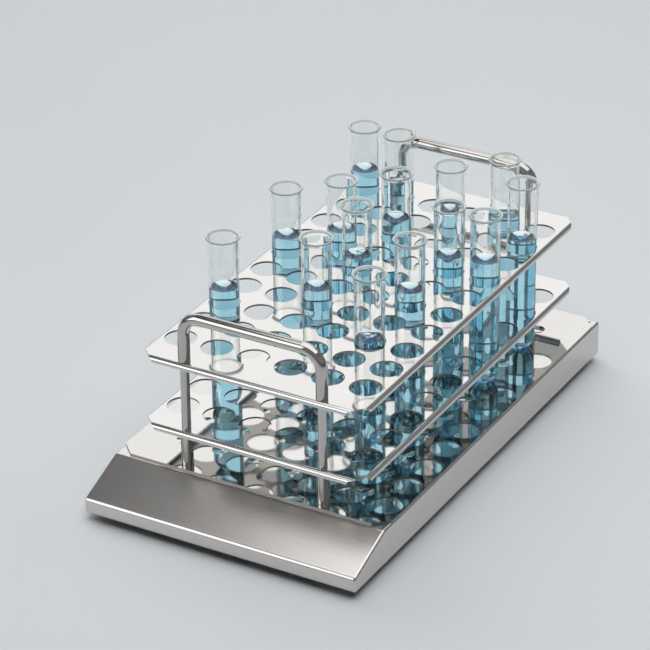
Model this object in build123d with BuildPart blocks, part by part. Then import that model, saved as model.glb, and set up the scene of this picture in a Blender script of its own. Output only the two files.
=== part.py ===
"""Stainless-steel test tube rack: three plates on two handles, standing on a folded base.

Millimetres, +Z up. The origin is on the floor, under the middle of the base. X runs across
the rack and Y along it, with the base's sloped end at -Y. Glass tubes stand in some holes.
"""

import os
from math import acos, degrees

from build123d import *

os.makedirs("parts", exist_ok=True)

# ---------------------------------------------------------------- driving dimensions
sheet = 1.0                   # thickness of every folded or flat sheet

# hole grid, shared by the three plates
pitch = 21.6                  # square grid of tube places
columns, rows = 6, 10
grid_y = 15.5                 # the grid's centre, behind the middle of the base
tube_hole = 17.0              # holes in the two upper plates
seat_diameter = 8.5           # shallow pressed seats in the deck, for the round tube ends
seat_radius = 14.0            # spherical radius of a seat

# base
base_width, base_length = 159.0, 278.0
base_bottom, base_top = 4.0, 24.0
lip_height = 8.5              # upright front lip, below the slope
slope_run = 30.2              # horizontal run of the sloped front
bend_radius = 3.0             # folds at the lip and at the top of the slope
edge_radius = 1.5             # rounded long edges of the base
return_width = 22.0           # inward fold along the underside
window_width, window_length = 143.0, 241.0   # opening under the deck
window_radius = 3.0
relief = 4.0                  # square relief where the rear ledges meet

# plates
deck_width, deck_length = 158.0, 245.0
plate_width, plate_length = 131.0, 243.6
corner_clip = 8.0
deck_top = base_top + sheet
middle_top = deck_top + 20.8
top_top = deck_top + 60.5
flange_drop = 3.0             # turned-down edge, measured from the plate's top face
flange_taper = 1.3            # each flange end is cut back by this at its lower edge
flange_bend = 1.4             # inside radius of the turned-down edge

# handles and posts
handle_rod = 6.35
upper_post_rod = 4.76         # between the two upper plates
lower_post_rod = 6.35         # between the middle plate and the deck
post_x, post_y = 80.0, 233.0  # spacing of the four legs
handle_rise = 25.7            # top plate's surface to the centre line of the grip
handle_bend = 10.6            # centre line radius of the handle's bends
spigot, spigot_bore, spigot_hole = 3.0, 3.1, 3.3
spigot_depth = 6.0
spigot_gap = 0.5              # end clearance of a spigot in its bore

# fasteners and feet
post_screw_head, post_screw_head_height = 6.0, 1.8
foot_x, foot_y = 131.0, 250.0
foot_diameter, foot_neck = 12.0, 11.0
foot_counterbore, foot_counterbore_depth = 6.6, 2.2
foot_screw, foot_screw_hole = 3.0, 3.4
foot_screw_head, foot_screw_head_height = 5.6, 1.8
nut_flats, nut_height = 5.5, 2.4

# tubes
tube_diameter, tube_length, tube_wall = 16.0, 100.0, 1.0
rim_diameter, rim_height, rim_bead = 18.4, 2.6, 0.55
seat_gap = 0.1                # between a tube's round end and its seat
meniscus_rise = 1.6
liquid_gap = 0.02

# tube places in use: column and row, counted from the left of the sloped end, and the
# height of the liquid's lowest point above the deck
tube_places = [
    (0, 2, 68.9), (0, 5, 70.2), (0, 9, 72.5), (1, 9, 70.0), (1, 6, 69.6),
    (2, 7, 71.7), (3, 8, 72.6), (4, 9, 65.3), (5, 8, 65.5), (2, 5, 68.9),
    (2, 3, 69.9), (4, 6, 69.6), (5, 6, 72.0), (4, 4, 69.4), (4, 2, 61.3),
]


def level(height):
    """Horizontal plane at a height, centred on the hole grid."""
    return Plane(origin=(0, grid_y, height))


def save(part, name):
    """Label a finished piece and write it as one STEP file."""
    part.label = name
    export_step(part, f"parts/{name}.step")


# ---------------------------------------------------------------- base
half_length = base_length / 2
slope_foot = base_bottom + lip_height
base_outline = [
    (-half_length, base_bottom),
    (-half_length, slope_foot),
    (-half_length + slope_run, base_top),
    (half_length, base_top),
    (half_length, base_bottom),
]
corner_radius = edge_radius + 0.1
base_folds = [corner_radius, bend_radius, bend_radius, corner_radius, corner_radius]
with BuildLine() as base_profile:
    FilletPolyline(*base_outline, radius=base_folds, close=True)

with BuildPart() as base_shell:
    with BuildSketch(Plane.YZ):
        make_face(base_profile.edges())
    extrude(amount=base_width / 2, both=True)
    fillet(base_shell.faces().filter_by(Axis.X).edges(), edge_radius)
    with BuildSketch(Plane.YZ):
        make_face(base_profile.edges())
        offset(amount=-sheet)
    extrude(amount=base_width / 2 - sheet, both=True, mode=Mode.SUBTRACT)
    with BuildSketch(level(base_top)) as window:
        Rectangle(window_width, window_length)
        fillet(window.vertices(), window_radius)
        relief_x = window_width / 2 + relief / 2 - 1
        relief_y = window_length / 2 - relief / 2
        with Locations((relief_x, relief_y), (-relief_x, relief_y)):
            Rectangle(relief + 2, relief)
    extrude(amount=-2 * sheet, mode=Mode.SUBTRACT)
    with BuildSketch(Plane.XY.offset(base_bottom)) as underside:
        Rectangle(base_width - 2 * return_width, base_length - 2 * return_width)
        fillet(underside.vertices(), window_radius)
    extrude(amount=sheet, mode=Mode.SUBTRACT)
    with BuildSketch(Plane.XY.offset(base_bottom)):
        with GridLocations(foot_x, foot_y, 2, 2):
            Circle(foot_screw_hole / 2)
    extrude(amount=sheet, mode=Mode.SUBTRACT)
save(base_shell.part, "base_shell")

floor_bottom = base_bottom + sheet
with BuildPart() as base_floor:
    with BuildSketch(Plane.XY.offset(floor_bottom)) as floor_outline:
        Rectangle(base_width - 2 * sheet - 2, base_length - 2 * sheet - 2)
        fillet(floor_outline.vertices(), edge_radius)
        with GridLocations(foot_x, foot_y, 2, 2):
            Circle(foot_screw_hole / 2, mode=Mode.SUBTRACT)
    extrude(amount=sheet)
save(base_floor.part, "base_floor")

# ---------------------------------------------------------------- feet
foot_places = {
    "front_left": (-1, -1),
    "front_right": (1, -1),
    "rear_left": (-1, 1),
    "rear_right": (1, 1),
}
for place, (side_x, side_y) in foot_places.items():
    with BuildPart() as foot:
        with BuildSketch(Plane(origin=(side_x * foot_x / 2, side_y * foot_y / 2, base_bottom))):
            Circle(foot_diameter / 2)
        with BuildSketch(Plane(origin=(side_x * foot_x / 2, side_y * foot_y / 2, 0))):
            Circle(foot_neck / 2)
        loft()
        ring = foot.faces().sort_by(Axis.Z)[0]
        fillet(ring.edges(), 0.5)
        with Locations(Plane(foot.faces().sort_by(Axis.Z)[0])):
            CounterBoreHole(foot_screw_hole / 2, foot_counterbore / 2, foot_counterbore_depth)
    save(foot.part, f"foot_{place}")

screw_seat = foot_counterbore_depth
nut_bottom = floor_bottom + sheet
with BuildPart() as foot_screws:
    with BuildSketch(Plane.XY.offset(screw_seat)):
        with GridLocations(foot_x, foot_y, 2, 2):
            Circle(foot_screw_head / 2)
    extrude(amount=-foot_screw_head_height)
    fillet(foot_screws.edges().group_by(Axis.Z)[0], 0.8)
    with BuildSketch(Plane.XY.offset(screw_seat)):
        with GridLocations(foot_x, foot_y, 2, 2):
            Circle(foot_screw / 2)
    extrude(amount=nut_bottom + nut_height + 1 - screw_seat)
    with BuildSketch(Plane.XY.offset(screw_seat - foot_screw_head_height)):
        with GridLocations(foot_x, foot_y, 2, 2):
            RegularPolygon(1.0, 6, major_radius=False)
    extrude(amount=1.1, mode=Mode.SUBTRACT)
save(foot_screws.part, "foot_screws")

with BuildPart() as foot_nuts:
    with BuildSketch(Plane.XY.offset(nut_bottom)):
        with GridLocations(foot_x, foot_y, 2, 2):
            RegularPolygon(nut_flats / 2, 6, major_radius=False)
            Circle(foot_screw / 2 + 0.05, mode=Mode.SUBTRACT)
    extrude(amount=nut_height)
save(foot_nuts.part, "foot_nuts")

# ---------------------------------------------------------------- deck
seat_depth = seat_radius - (seat_radius**2 - (seat_diameter / 2) ** 2) ** 0.5
deck_bottom = deck_top - sheet


def seat_cap(radius):
    """Spherical cap as deep as a seat, its flat face up at the origin."""
    sweep_angle = acos((radius - seat_depth) / radius)
    with BuildPart() as cap:
        with BuildSketch(Plane.XZ):
            with BuildLine():
                curve = CenterArc((0, radius - seat_depth), radius, -90, degrees(sweep_angle))
                Polyline(curve @ 1, (0, 0), curve @ 0)
            make_face()
        revolve(axis=Axis.Z)
    return cap.part


seat_hollow, seat_bulge = seat_cap(seat_radius), seat_cap(seat_radius + sheet)
with BuildPart() as deck:
    with BuildSketch(level(deck_top)) as deck_outline:
        Rectangle(deck_width, deck_length)
        chamfer(deck_outline.vertices(), corner_clip)
        with GridLocations(post_x, post_y, 2, 2):
            Circle(spigot_hole / 2, mode=Mode.SUBTRACT)
    extrude(amount=-sheet)
    with Locations(level(deck_bottom)):
        with GridLocations(pitch, pitch, columns, rows):
            add(seat_bulge)
    with Locations(level(deck_top)):
        with GridLocations(pitch, pitch, columns, rows):
            add(seat_hollow, mode=Mode.SUBTRACT)
save(deck.part, "deck")


# ---------------------------------------------------------------- upper plates
def perforated_plate(top):
    """Plate with the tube holes, clipped corners and four turned-down edges."""
    outward = {
        (0, -1): (plate_length / 2, plate_width - 2 * corner_clip),
        (0, 1): (plate_length / 2, plate_width - 2 * corner_clip),
        (-1, 0): (plate_width / 2, plate_length - 2 * corner_clip),
        (1, 0): (plate_width / 2, plate_length - 2 * corner_clip),
    }
    with BuildPart() as plate:
        with BuildSketch(level(top)) as outline:
            Rectangle(plate_width, plate_length)
            chamfer(outline.vertices(), corner_clip)
            with GridLocations(pitch, pitch, columns, rows):
                Circle(tube_hole / 2, mode=Mode.SUBTRACT)
            with GridLocations(post_x, post_y, 2, 2):
                Circle(spigot_hole / 2, mode=Mode.SUBTRACT)
        extrude(amount=-sheet)
        for (side_x, side_y), (reach, length) in outward.items():
            edge_plane = Plane(
                origin=(side_x * reach, grid_y + side_y * reach, top),
                x_dir=(-side_y, side_x, 0),
                z_dir=(side_x, side_y, 0),
            )
            with BuildSketch(edge_plane):
                with BuildLine():
                    Polyline(
                        (-length / 2, 0),
                        (length / 2, 0),
                        (length / 2 - flange_taper, -flange_drop),
                        (-length / 2 + flange_taper, -flange_drop),
                        close=True,
                    )
                make_face()
            extrude(amount=-sheet)
        for face_height, radius in ((top - sheet, flange_bend), (top, flange_bend + sheet)):
            near = plate.edges().filter_by_position(Axis.Z, face_height - 0.01, face_height + 0.01)
            straight = near.filter_by(GeomType.LINE)
            bends = straight.filter_by(Axis.X) + straight.filter_by(Axis.Y)
            fillet(bends.filter_by(lambda edge: edge.length > post_x), radius)
    return plate.part


save(perforated_plate(middle_top), "middle_plate")
save(perforated_plate(top_top), "top_plate")

# ---------------------------------------------------------------- handles
grip_height = top_top + handle_rise
for name, side_y in {"handle_front": -1, "handle_rear": 1}.items():
    with BuildPart() as handle:
        across = Plane(
            origin=(0, grid_y + side_y * post_y / 2, 0), x_dir=(1, 0, 0), z_dir=(0, -1, 0))
        with BuildLine(across) as centre_line:
            FilletPolyline(
                (-post_x / 2, top_top),
                (-post_x / 2, grip_height),
                (post_x / 2, grip_height),
                (post_x / 2, top_top),
                radius=handle_bend,
            )
        with BuildSketch(Plane(origin=centre_line.line @ 0, z_dir=centre_line.line % 0)):
            Circle(handle_rod / 2)
        sweep(path=centre_line.line)
        with BuildSketch(Plane(origin=(0, grid_y + side_y * post_y / 2, top_top))):
            with GridLocations(post_x, 1, 2, 1):
                Circle(spigot_bore / 2)
        extrude(amount=spigot_depth, mode=Mode.SUBTRACT)
    save(handle.part, name)

# ---------------------------------------------------------------- posts
for place, (side_x, side_y) in foot_places.items():
    post_place = (side_x * post_x / 2, grid_y + side_y * post_y / 2)
    upper_bottom, upper_top = middle_top, top_top - sheet
    with BuildPart() as upper_post:
        with BuildSketch(Plane(origin=(*post_place, upper_bottom))):
            Circle(upper_post_rod / 2)
        extrude(amount=upper_top - upper_bottom)
        chamfer(upper_post.edges(), 0.25)
        reach = sheet + spigot_depth - spigot_gap
        with BuildSketch(Plane(origin=(*post_place, upper_bottom - reach))):
            Circle(spigot / 2)
        extrude(amount=upper_top - upper_bottom + 2 * reach)
    save(upper_post.part, f"upper_post_{place}")

    lower_top = middle_top - sheet
    with BuildPart() as lower_post:
        with BuildSketch(Plane(origin=(*post_place, deck_top))):
            Circle(lower_post_rod / 2)
        extrude(amount=lower_top - deck_top)
        chamfer(lower_post.edges(), 0.25)
        with BuildSketch(Plane(origin=(*post_place, deck_top))):
            Circle(spigot_bore / 2)
        extrude(amount=spigot_depth, mode=Mode.SUBTRACT)
        with BuildSketch(Plane(origin=(*post_place, lower_top))):
            Circle(spigot_bore / 2)
        extrude(amount=-spigot_depth, mode=Mode.SUBTRACT)
    save(lower_post.part, f"lower_post_{place}")

with BuildPart() as post_screws:
    with BuildSketch(level(deck_bottom)):
        with GridLocations(post_x, post_y, 2, 2):
            Circle(post_screw_head / 2)
    extrude(amount=-post_screw_head_height)
    fillet(post_screws.edges().group_by(Axis.Z)[0], 1.0)
    with BuildSketch(level(deck_bottom)):
        with GridLocations(post_x, post_y, 2, 2):
            Circle(spigot / 2)
    extrude(amount=sheet + spigot_depth - spigot_gap)
    with BuildSketch(level(deck_bottom - post_screw_head_height)):
        with GridLocations(post_x, post_y, 2, 2):
            RegularPolygon(1.0, 6, major_radius=False)
    extrude(amount=1.1, mode=Mode.SUBTRACT)
save(post_screws.part, "post_screws")

# ---------------------------------------------------------------- tubes and their liquid
outer, inner = tube_diameter / 2, tube_diameter / 2 - tube_wall
tube_bottom = deck_top - seat_depth + seat_gap
tube_top = tube_bottom + tube_length
dome_centre = tube_bottom + outer
flare_start = tube_top - rim_height
rim_outer = rim_diameter / 2
rim_inner = rim_outer - 2 * rim_bead
bead_centre = tube_top - rim_bead
wet = inner - liquid_gap
meniscus_radius = (wet**2 + meniscus_rise**2) / (2 * meniscus_rise)


def place_of(column, row):
    """Centre of a tube place."""
    return ((column - (columns - 1) / 2) * pitch, grid_y + (row - (rows - 1) / 2) * pitch)


for number, (column, row, fill) in enumerate(tube_places, start=1):
    x, y = place_of(column, row)
    upright = Plane(origin=(x, y, 0), x_dir=(1, 0, 0), z_dir=(0, -1, 0))
    spin = Axis((x, y, 0), (0, 0, 1))

    with BuildPart() as tube:
        with BuildSketch(upright):
            with BuildLine():
                CenterArc((0, dome_centre), outer, -90, 90)
                Line((outer, dome_centre), (outer, flare_start))
                TangentArc((outer, flare_start), (rim_outer, bead_centre), tangent=(0, 1))
                CenterArc((rim_outer - rim_bead, bead_centre), rim_bead, 0, 180)
                TangentArc((inner, flare_start), (rim_inner, bead_centre), tangent=(0, 1))
                Line((inner, flare_start), (inner, dome_centre))
                CenterArc((0, dome_centre), inner, -90, 90)
                Line((0, dome_centre - inner), (0, dome_centre - outer))
            make_face()
        revolve(axis=spin)
    save(tube.part, f"tube_{number:02d}")

    surface = deck_top + fill
    with BuildPart() as liquid:
        with BuildSketch(upright):
            with BuildLine():
                CenterArc((0, dome_centre), wet, -90, 90)
                Line((wet, dome_centre), (wet, surface + meniscus_rise))
                RadiusArc((wet, surface + meniscus_rise), (0, surface), meniscus_radius)
                Line((0, surface), (0, dome_centre - wet))
            make_face()
        revolve(axis=spin)
    save(liquid.part, f"liquid_{number:02d}")
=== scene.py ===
"""Looks of the stainless-steel test tube rack: materials, glassware, floor, light and camera."""

import math

import bpy
from mathutils import Matrix, Vector


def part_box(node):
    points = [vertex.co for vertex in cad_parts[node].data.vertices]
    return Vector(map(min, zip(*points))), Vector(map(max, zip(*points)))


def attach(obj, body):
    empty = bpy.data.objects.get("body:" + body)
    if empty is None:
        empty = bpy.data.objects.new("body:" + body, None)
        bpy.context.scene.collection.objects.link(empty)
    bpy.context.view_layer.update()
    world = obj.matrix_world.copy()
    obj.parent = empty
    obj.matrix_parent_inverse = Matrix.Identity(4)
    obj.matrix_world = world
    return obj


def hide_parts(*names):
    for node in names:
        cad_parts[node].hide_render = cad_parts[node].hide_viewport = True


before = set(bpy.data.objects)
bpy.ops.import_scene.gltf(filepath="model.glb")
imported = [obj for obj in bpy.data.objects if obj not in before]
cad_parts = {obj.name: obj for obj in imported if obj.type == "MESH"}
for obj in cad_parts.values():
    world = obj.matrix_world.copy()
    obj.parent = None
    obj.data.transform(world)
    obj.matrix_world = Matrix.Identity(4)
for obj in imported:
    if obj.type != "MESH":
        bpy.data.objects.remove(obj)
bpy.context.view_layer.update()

MM = 0.001

# ---------------------------------------------------------------- sizes, in millimetres
FOLD = 2.4                    # outside radius of the plates' turned-down edges
TUBE_RADIUS = 8.0
TUBE_WALL = 1.0
RIM_BEAD = 0.55               # radius of the fire-polished bead
RIM_HEIGHT = 2.6
LIQUID_OVERLAP = 0.3          # the liquid's side lies this far inside the glass wall
MENISCUS_RISE = 1.3
MENISCUS_CLIMB = 3.0          # how sharply the surface turns up at the wall, no unit
ON_AXIS = 1e-6                # a smaller radius is a point on the axis

# ---------------------------------------------------------------- steps of the lathed meshes
TUBES = 15
AROUND = 96                   # faces around a tube
ROUND_STEPS = 24              # along a round end, and across the liquid's surface
WALL_STEPS = 12
FLARE_STEPS = 6
BEAD_STEPS = 16
LIQUID_STEPS = 10

# ---------------------------------------------------------------- finish of edges and folds, with painted shade on the cut edges
# the cut edges' dark colour is partly their duller finish and partly painted shade, standing in for
# the shadow gap and dark reflections along the sheets' edges
CUT_EDGE_AND_SHADE, CUT_ROUGHNESS = (0.26, 0.25, 0.24), 0.32
CUT_FACING = 0.4              # faces that point less far up or down than this are cut edges
FOLD_ROUGHNESS = 0.15


# ---------------------------------------------------------------- node helpers
class Shading:
    """A material, with short calls for the nodes that most finishes here need."""

    def __init__(self, name):
        self.material = bpy.data.materials.new(name)
        self.material.use_nodes = True
        self.tree = self.material.node_tree
        self.shader = self.tree.nodes["Principled BSDF"]
        self.output = self.tree.nodes["Material Output"]
        self.place = self.tree.nodes.new("ShaderNodeTexCoord").outputs["Object"]

    def node(self, kind, inputs=None, **settings):
        """Adds a node, sets its properties, and links or sets its inputs."""
        made = self.tree.nodes.new(kind)
        for key, value in settings.items():
            setattr(made, key, value)
        for key, value in (inputs or {}).items():
            self.feed(made.inputs[key], value)
        return made

    def feed(self, socket, value):
        """Links a socket, or sets its value."""
        if isinstance(value, bpy.types.NodeSocket):
            self.tree.links.new(value, socket)
        else:
            socket.default_value = value

    def set(self, **values):
        """Feeds the shader's own sockets, with spaces written as underscores."""
        for key, value in values.items():
            self.feed(self.shader.inputs[key.replace("_", " ")], value)
        return self

    def noise(self, scale, detail=3.0, roughness=0.5, stretch=(1, 1, 1), distortion=0.0):
        """Noise in the object's own space: scale is in features per metre."""
        mapping = self.node("ShaderNodeMapping", {"Vector": self.place, "Scale": stretch})
        texture = self.node("ShaderNodeTexNoise", {
            "Vector": mapping.outputs[0], "Scale": scale, "Detail": detail,
            "Roughness": roughness, "Distortion": distortion})
        return texture.outputs["Fac"]

    def spread(self, value, low, high, source=(0.3, 0.7)):
        """Maps a pattern to a range."""
        return self.node("ShaderNodeMapRange", {
            "Value": value, "From Min": source[0], "From Max": source[1],
            "To Min": low, "To Max": high}).outputs["Result"]

    def mix(self, factor, first, second):
        """Blends two numbers."""
        inputs = {0: factor, 2: first, 3: second}
        return self.node("ShaderNodeMix", inputs, data_type="FLOAT").outputs[0]

    def tint(self, factor, first, second):
        """Blends two colours."""
        made = self.node("ShaderNodeMix", data_type="RGBA")
        self.feed(made.inputs["Factor"], factor)
        for socket, value in zip(made.inputs[6:8], (first, second)):
            self.feed(socket, value if isinstance(value, bpy.types.NodeSocket) else (*value, 1.0))
        return made.outputs[2]

    def math(self, operation, *values):
        """Arithmetic on numbers or sockets."""
        return self.node("ShaderNodeMath", dict(enumerate(values)), operation=operation).outputs[0]

    def facing(self, axis):
        """How far a face points along an axis of the object, either way, from 0 to 1."""
        normal = self.node("ShaderNodeTexCoord").outputs["Normal"]
        split = self.node("ShaderNodeSeparateXYZ", {"Vector": normal})
        return self.math("ABSOLUTE", split.outputs[axis])

    def inside(self, middle_y, half_x, half_y):
        """1 within a rectangle seen from above, 0 outside, in metres."""
        split = self.node("ShaderNodeSeparateXYZ", {"Vector": self.place})
        across = self.math("ABSOLUTE", split.outputs["X"])
        along = self.math("ABSOLUTE", self.math("SUBTRACT", split.outputs["Y"], middle_y))
        return self.math("MULTIPLY", self.math("LESS_THAN", across, half_x),
                         self.math("LESS_THAN", along, half_y))

    def bump(self, height, depth, strength=1.0, after=None):
        """Normal from a pattern, depth in metres."""
        inputs = {"Height": height, "Distance": depth, "Strength": strength}
        if after is not None:
            inputs["Normal"] = after
        return self.node("ShaderNodeBump", inputs).outputs["Normal"]


# ---------------------------------------------------------------- metals
def polished_sheet(name, colour, roughness, folded=None):
    """Mirror-polished sheet with slight waviness; duller on cut edges and along any folds, with the
    cut edges also painted dark as painted shade.
    """
    metal = Shading(name)
    haze = metal.noise(38, detail=4, roughness=0.6)
    wipes = metal.noise(60, detail=3, stretch=(1, 6, 6), distortion=0.4)
    wave = metal.noise(9, detail=1)
    both = metal.mix(0.4, haze, wipes)
    finish = metal.spread(both, roughness * 0.6, roughness * 1.5)
    cut_and_shade = metal.math("LESS_THAN", metal.facing("Z"), CUT_FACING)
    if folded is not None:
        flat = metal.inside(*folded)
        cut_and_shade = metal.math("MULTIPLY", cut_and_shade, flat)
        finish = metal.mix(flat, FOLD_ROUGHNESS, finish)
    face = metal.tint(metal.spread(haze, 0, 1), colour, [c * 0.965 for c in colour])
    metal.set(
        Metallic=1.0,
        # painted shade: the cut edges take the dark colour
        Base_Color=metal.tint(cut_and_shade, face, CUT_EDGE_AND_SHADE),
        Roughness=metal.mix(cut_and_shade, finish, CUT_ROUGHNESS),
        Normal=metal.bump(wave, 0.00004),
    )
    return metal.material


def brushed_sheet(name, colour, roughness):
    """Satin sheet with fine grain along each face, and soft cloudiness."""
    metal = Shading(name)
    across = metal.noise(1500, detail=2, stretch=(0.012, 1, 1))
    along = metal.noise(1500, detail=2, stretch=(1, 0.012, 1))
    sideways = metal.spread(metal.facing("X"), 0, 1, (0.45, 0.55))
    grain = metal.mix(sideways, across, along)
    cloud = metal.noise(22, detail=3)
    metal.set(
        Metallic=1.0,
        Base_Color=metal.tint(metal.spread(grain, 0, 1), colour, [c * 0.97 for c in colour]),
        Roughness=metal.spread(metal.mix(0.35, grain, cloud), roughness * 0.92, roughness * 1.10),
        Normal=metal.bump(grain, 0.000005, 0.5),
    )
    return metal.material


def drawn_rod(name, colour, roughness, stretch):
    """Polished rod, with the faint lines that drawing leaves along it."""
    metal = Shading(name)
    lines = metal.noise(900, detail=2, stretch=stretch)
    haze = metal.noise(55, detail=4)
    metal.set(
        Metallic=1.0,
        Base_Color=metal.tint(metal.spread(haze, 0, 1), colour, [c * 0.93 for c in colour]),
        Roughness=metal.spread(metal.mix(0.5, lines, haze), roughness * 0.7, roughness * 1.4),
        Normal=metal.bump(lines, 0.000008, 0.5),
    )
    return metal.material


def turned_steel(name, colour, roughness):
    """Bright fastener steel with small handling marks."""
    metal = Shading(name)
    marks = metal.noise(700, detail=4, roughness=0.65)
    metal.set(
        Metallic=1.0,
        Base_Color=metal.tint(metal.spread(marks, 0, 1), colour, [c * 0.8 for c in colour]),
        Roughness=metal.spread(marks, roughness * 0.7, roughness * 1.5),
        Normal=metal.bump(marks, 0.00002, 0.4),
    )
    return metal.material


def black_rubber(name):
    """Moulded rubber with a fine pebbled skin."""
    rubber = Shading(name)
    pebble = rubber.noise(2600, detail=2)
    dust = rubber.noise(120, detail=4)
    rubber.set(
        Base_Color=rubber.tint(rubber.spread(dust, 0, 1), (0.018, 0.018, 0.02), (0.045, 0.045, 0.047)),
        Roughness=rubber.spread(dust, 0.55, 0.8),
        Normal=rubber.bump(pebble, 0.00005, 0.5),
    )
    return rubber.material


# ---------------------------------------------------------------- glass and liquid
def let_light_through(shading, tint):
    """Shadow rays pass the clear shader with a light tint, so glass shadows stay bright."""
    path = shading.node("ShaderNodeLightPath")
    open_way = shading.node("ShaderNodeBsdfTransparent", {"Color": (*tint, 1.0)})
    choice = shading.node("ShaderNodeMixShader", {0: path.outputs["Is Shadow Ray"]})
    shading.tree.links.new(shading.shader.outputs[0], choice.inputs[1])
    shading.tree.links.new(open_way.outputs[0], choice.inputs[2])
    shading.tree.links.new(choice.outputs[0], shading.output.inputs["Surface"])


def clear_glass(name, colour=(1, 1, 1), transmitted_share=1.0):
    """Laboratory glass, greenish where light runs far inside it; a low transmitted share mixes in its
    colour as a lit diffuse surface, a painted glow.
    """
    glass = Shading(name)
    draw_lines = glass.noise(260, detail=2, stretch=(1, 1, 0.03))
    glass.set(
        Transmission_Weight=transmitted_share, Base_Color=(*colour, 1), Roughness=0.0, IOR=1.474,
        Normal=glass.bump(draw_lines, 0.000006, 0.35))
    absorb = glass.node("ShaderNodeVolumeAbsorption", {
        "Color": (0.45, 0.86, 0.72, 1), "Density": 30.0})
    glass.tree.links.new(absorb.outputs[0], glass.output.inputs["Volume"])
    let_light_through(glass, (0.97, 0.985, 0.98))
    return glass.material


def blue_liquid(name):
    """Clear blue dye solution, darker the further one looks through it."""
    liquid = Shading(name)
    liquid.set(Transmission_Weight=1.0, Base_Color=(1, 1, 1, 1), Roughness=0.0, IOR=1.333)
    absorb = liquid.node("ShaderNodeVolumeAbsorption", {
        "Color": (0.04, 0.69, 0.90, 1), "Density": 60.0})
    liquid.tree.links.new(absorb.outputs[0], liquid.output.inputs["Volume"])
    let_light_through(liquid, (0.66, 0.88, 0.95))
    return liquid.material


plate_low, plate_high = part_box("top_plate")
plate_flat = ((plate_low.y + plate_high.y) / 2,
              (plate_high.x - plate_low.x) / 2 - FOLD * MM,
              (plate_high.y - plate_low.y) / 2 - FOLD * MM)
polished_plate = polished_sheet("polished_plate", (0.68, 0.67, 0.655), 0.045, plate_flat)
mirror_deck = polished_sheet("mirror_deck", (0.64, 0.625, 0.605), 0.04)
brushed_base = brushed_sheet("brushed_base", (0.66, 0.635, 0.615), 0.20)
base_inside = brushed_sheet("base_inside", (0.5, 0.5, 0.5), 0.42)
upright_rod = drawn_rod("upright_rod", (0.56, 0.54, 0.52), 0.10, (1, 1, 0.02))
fastener = turned_steel("fastener", (0.62, 0.61, 0.60), 0.25)
rubber_foot = black_rubber("rubber_foot")
glass = clear_glass("clear_glass")
# painted light: the rim bead's greenish diffuse part stands in for light carried along the glass wall
# and for the rim's highlights
rim_glass_painted_glow = clear_glass("rim_glass_painted_glow", (0.84, 0.91, 0.90), 0.40)
liquid = blue_liquid("blue_liquid")

finishes = {
    "base_shell": brushed_base,
    "base_floor": base_inside,
    "deck": mirror_deck,
    "middle_plate": polished_plate,
    "top_plate": polished_plate,
    "handle_front": upright_rod,
    "handle_rear": upright_rod,
    "foot_screws": fastener,
    "foot_nuts": fastener,
    "post_screws": fastener,
}
for name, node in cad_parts.items():
    finish = finishes.get(name)
    if finish is None and name.startswith("foot_"):
        finish = rubber_foot
    elif finish is None and "post_" in name:
        finish = upright_rod
    if finish is not None:
        node.data.materials.clear()
        node.data.materials.append(finish)


# ---------------------------------------------------------------- glassware meshes
def arc(centre, radius, start, end, steps):
    """Points of an arc in the profile's plane, angles in degrees."""
    turns = [math.radians(start + (end - start) * i / steps) for i in range(steps + 1)]
    return [(centre[0] + radius * math.cos(t), centre[1] + radius * math.sin(t)) for t in turns]


def lathe(name, profile):
    """Solid of revolution from a profile that starts and ends on the axis, in millimetres."""
    vertices, rings = [], []
    for radius, height in profile:
        if radius < ON_AXIS:
            rings.append([len(vertices)])
            vertices.append((0, 0, height * MM))
            continue
        rings.append([len(vertices) + i for i in range(AROUND)])
        for i in range(AROUND):
            turn = 2 * math.pi * i / AROUND
            vertices.append((radius * math.cos(turn) * MM, radius * math.sin(turn) * MM, height * MM))
    faces = []
    for lower, upper in zip(rings, rings[1:]):
        for i in range(AROUND):
            j = (i + 1) % AROUND
            corners = [lower[i % len(lower)], lower[j % len(lower)],
                       upper[j % len(upper)], upper[i % len(upper)]]
            faces.append(list(dict.fromkeys(corners)))
    mesh = bpy.data.meshes.new(name)
    mesh.from_pydata(vertices, [], faces)
    mesh.update()
    mesh.shade_smooth()
    mesh.set_sharp_from_angle(angle=math.radians(30))
    return mesh


def tube_profile(length, rim_radius):
    """Outline of the glass, from the outside of the round end over the rim to the inside."""
    outer, inner = TUBE_RADIUS, TUBE_RADIUS - TUBE_WALL
    flare = length - RIM_HEIGHT
    bead = (rim_radius - RIM_BEAD, length - RIM_BEAD)

    def flared(wall, edge):
        """Points from the straight wall out to an edge of the bead."""
        shares = [i / FLARE_STEPS for i in range(1, FLARE_STEPS)]
        return [(wall + (edge - wall) * t * t, flare + (bead[1] - flare) * t) for t in shares]

    points = arc((0, outer), outer, -90, 0, ROUND_STEPS)
    points += [(outer, outer + (flare - outer) * i / WALL_STEPS) for i in range(1, WALL_STEPS + 1)]
    points += flared(outer, bead[0] + RIM_BEAD)
    points += arc(bead, RIM_BEAD, -10, 190, BEAD_STEPS)
    points += reversed(flared(inner, bead[0] - RIM_BEAD))
    points += [(inner, flare + (outer - flare) * i / WALL_STEPS) for i in range(WALL_STEPS)]
    points += arc((0, outer), inner, 0, -90, ROUND_STEPS)
    return points


def meniscus(share):
    """Height of the meniscus, as a share of its rise, at a share of the radius."""
    return (math.cosh(MENISCUS_CLIMB * share) - 1) / (math.cosh(MENISCUS_CLIMB) - 1)


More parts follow.
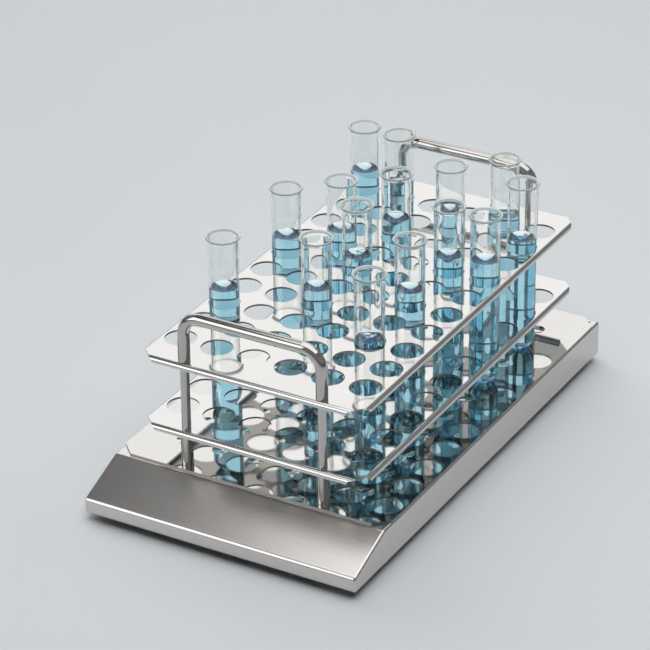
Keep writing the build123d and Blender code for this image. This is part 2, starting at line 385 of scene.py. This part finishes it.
def liquid_profile(surface):
    """Outline of the liquid, from the round end up to the wall and down the meniscus."""
    inner = TUBE_RADIUS - TUBE_WALL
    wet = TUBE_RADIUS - TUBE_WALL + LIQUID_OVERLAP
    edge = surface + MENISCUS_RISE
    points = arc((0, TUBE_RADIUS), wet, -90, 0, ROUND_STEPS)
    points += [(wet, TUBE_RADIUS + (edge - TUBE_RADIUS) * i / LIQUID_STEPS)
               for i in range(1, LIQUID_STEPS + 1)]
    for i in range(ROUND_STEPS, -1, -1):
        radius = inner * i / ROUND_STEPS
        points.append((radius, surface + MENISCUS_RISE * meniscus(radius / inner)))
    return points


def add_piece(name, mesh, place, body, replaced):
    """A visible piece that rides on a body and stands for a CAD node."""
    piece = bpy.data.objects.new(name, mesh)
    bpy.context.scene.collection.objects.link(piece)
    piece.location = place
    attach(piece, body)
    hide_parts(replaced)


low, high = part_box("tube_01")
tube_length = (high.z - low.z) / MM
tube_mesh = lathe("glass_tube", tube_profile(tube_length, (high.x - low.x) / 2 / MM))
tube_mesh.materials.append(glass)
tube_mesh.materials.append(rim_glass_painted_glow)
bead_start = (tube_length - 2 * RIM_BEAD) * MM
for face in tube_mesh.polygons:
    face.material_index = int(face.center.z > bead_start)
for number in range(1, TUBES + 1):
    tag = f"{number:02d}"
    low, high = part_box(f"tube_{tag}")
    foot = Vector(((low.x + high.x) / 2, (low.y + high.y) / 2, low.z))
    body = f"filled_tube_{tag}"
    add_piece(f"glass_tube_{tag}", tube_mesh, foot, body, f"tube_{tag}")
    level = (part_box(f"liquid_{tag}")[1].z - low.z) / MM - MENISCUS_RISE
    filling = lathe(f"filling_{tag}", liquid_profile(level))
    filling.materials.append(liquid)
    add_piece(f"blue_filling_{tag}", filling, foot, body, f"liquid_{tag}")


# ---------------------------------------------------------------- floor, light and camera
def pale_floor():
    """Plain pale surface under the rack."""
    bpy.ops.mesh.primitive_circle_add(vertices=96, radius=9.0, fill_type="NGON")
    floor = bpy.context.object
    floor.name = "floor"
    paper = Shading("floor_paper")
    cloud = paper.noise(3.0, detail=2)
    paper.set(
        Base_Color=paper.tint(paper.spread(cloud, 0, 1), (0.67, 0.70, 0.72), (0.65, 0.685, 0.705)),
        Roughness=0.62)
    floor.data.materials.append(paper.material)


def sky():
    """Dim grey surroundings, brightest around the horizon; they light no diffuse surface."""
    world = bpy.data.worlds.new("studio")
    bpy.context.scene.world = world
    world.cycles_visibility.diffuse = False
    world.use_nodes = True
    tree = world.node_tree
    place = tree.nodes.new("ShaderNodeTexCoord")
    split = tree.nodes.new("ShaderNodeSeparateXYZ")
    ramp = tree.nodes.new("ShaderNodeValToRGB")
    tree.links.new(place.outputs["Generated"], split.inputs[0])
    tree.links.new(split.outputs["Z"], ramp.inputs[0])
    tree.links.new(ramp.outputs[0], tree.nodes["Background"].inputs["Color"])
    stops = ((0.0, 0.06), (0.20, 0.25), (0.50, 0.25), (0.75, 0.11), (1.0, 0.11))
    while len(ramp.color_ramp.elements) < len(stops):
        ramp.color_ramp.elements.new(0.5)
    for element, (position, value) in zip(ramp.color_ramp.elements, stops):
        element.position = position
        element.color = (value, value, value, 1)


def softbox(name, place, aim, width, depth, brightness):
    """A rectangular soft light that faces a point; brightness is how white it looks."""
    data = bpy.data.lights.new(name, "AREA")
    data.shape = "RECTANGLE"
    data.size, data.size_y = width, depth
    data.energy = brightness * math.pi * width * depth
    lamp = bpy.data.objects.new(name, data)
    bpy.context.scene.collection.objects.link(lamp)
    lamp.location = place
    lamp.rotation_euler = (Vector(aim) - Vector(place)).to_track_quat("-Z", "Y").to_euler()
    return lamp


def studio_lights():
    """Panels for the steel and glass to reflect, and two keys that light the floor and rubber."""
    middle = Vector((0, 0, 0.05))
    back = softbox("back", (-0.75, 1.30, 0.85), middle, 1.9, 1.15, 1.02)
    softbox("overhead", (0.22, 0.20, 1.5), (0.22, 0.20, 0), 1.84, 2.3, 1.45)
    front = softbox("front_left", (-0.95, -1.15, 0.75), middle, 1.1, 1.0, 1.8)
    keys = (softbox("key_left", (-2.0, 0.9, 2.0), middle, 1.6, 1.6, 2.9),
            softbox("key_top", (0.14, -0.10, 1.45), middle, 1.2, 1.2, 1.35))
    for panel in (back, front):
        panel.visible_diffuse = False
    for key in keys:
        key.visible_glossy = key.visible_transmission = False


def camera():
    """Long lens at the viewing angle, with a slight roll and shift."""
    azimuth, elevation, roll = map(math.radians, (29.711, 28.353, -0.582))
    target, distance = Vector((-0.0005, -0.0169, 0.0855)), 1.7234
    back = Vector((math.sin(azimuth) * math.cos(elevation),
                   -math.cos(azimuth) * math.cos(elevation), math.sin(elevation)))
    level_right = (-back).cross(Vector((0, 0, 1))).normalized()
    level_up = level_right.cross(-back)
    right = math.cos(roll) * level_right + math.sin(roll) * level_up
    up = math.cos(roll) * level_up - math.sin(roll) * level_right
    data = bpy.data.cameras.new("camera")
    data.lens, data.sensor_width = 183.89, 36.0
    data.shift_x, data.shift_y = -0.0143, -0.0256
    data.clip_start = 0.05
    eye = bpy.data.objects.new("camera", data)
    bpy.context.scene.collection.objects.link(eye)
    turn = Matrix((right, up, back)).transposed().to_4x4()
    eye.matrix_world = Matrix.Translation(target + back * distance) @ turn
    bpy.context.scene.camera = eye


pale_floor()
sky()
studio_lights()
camera()

cycles = bpy.context.scene.cycles
cycles.max_bounces = 64
cycles.transmission_bounces = 64
cycles.glossy_bounces = 10
cycles.transparent_max_bounces = 48
bpy.context.scene.view_settings.view_transform = "Standard"
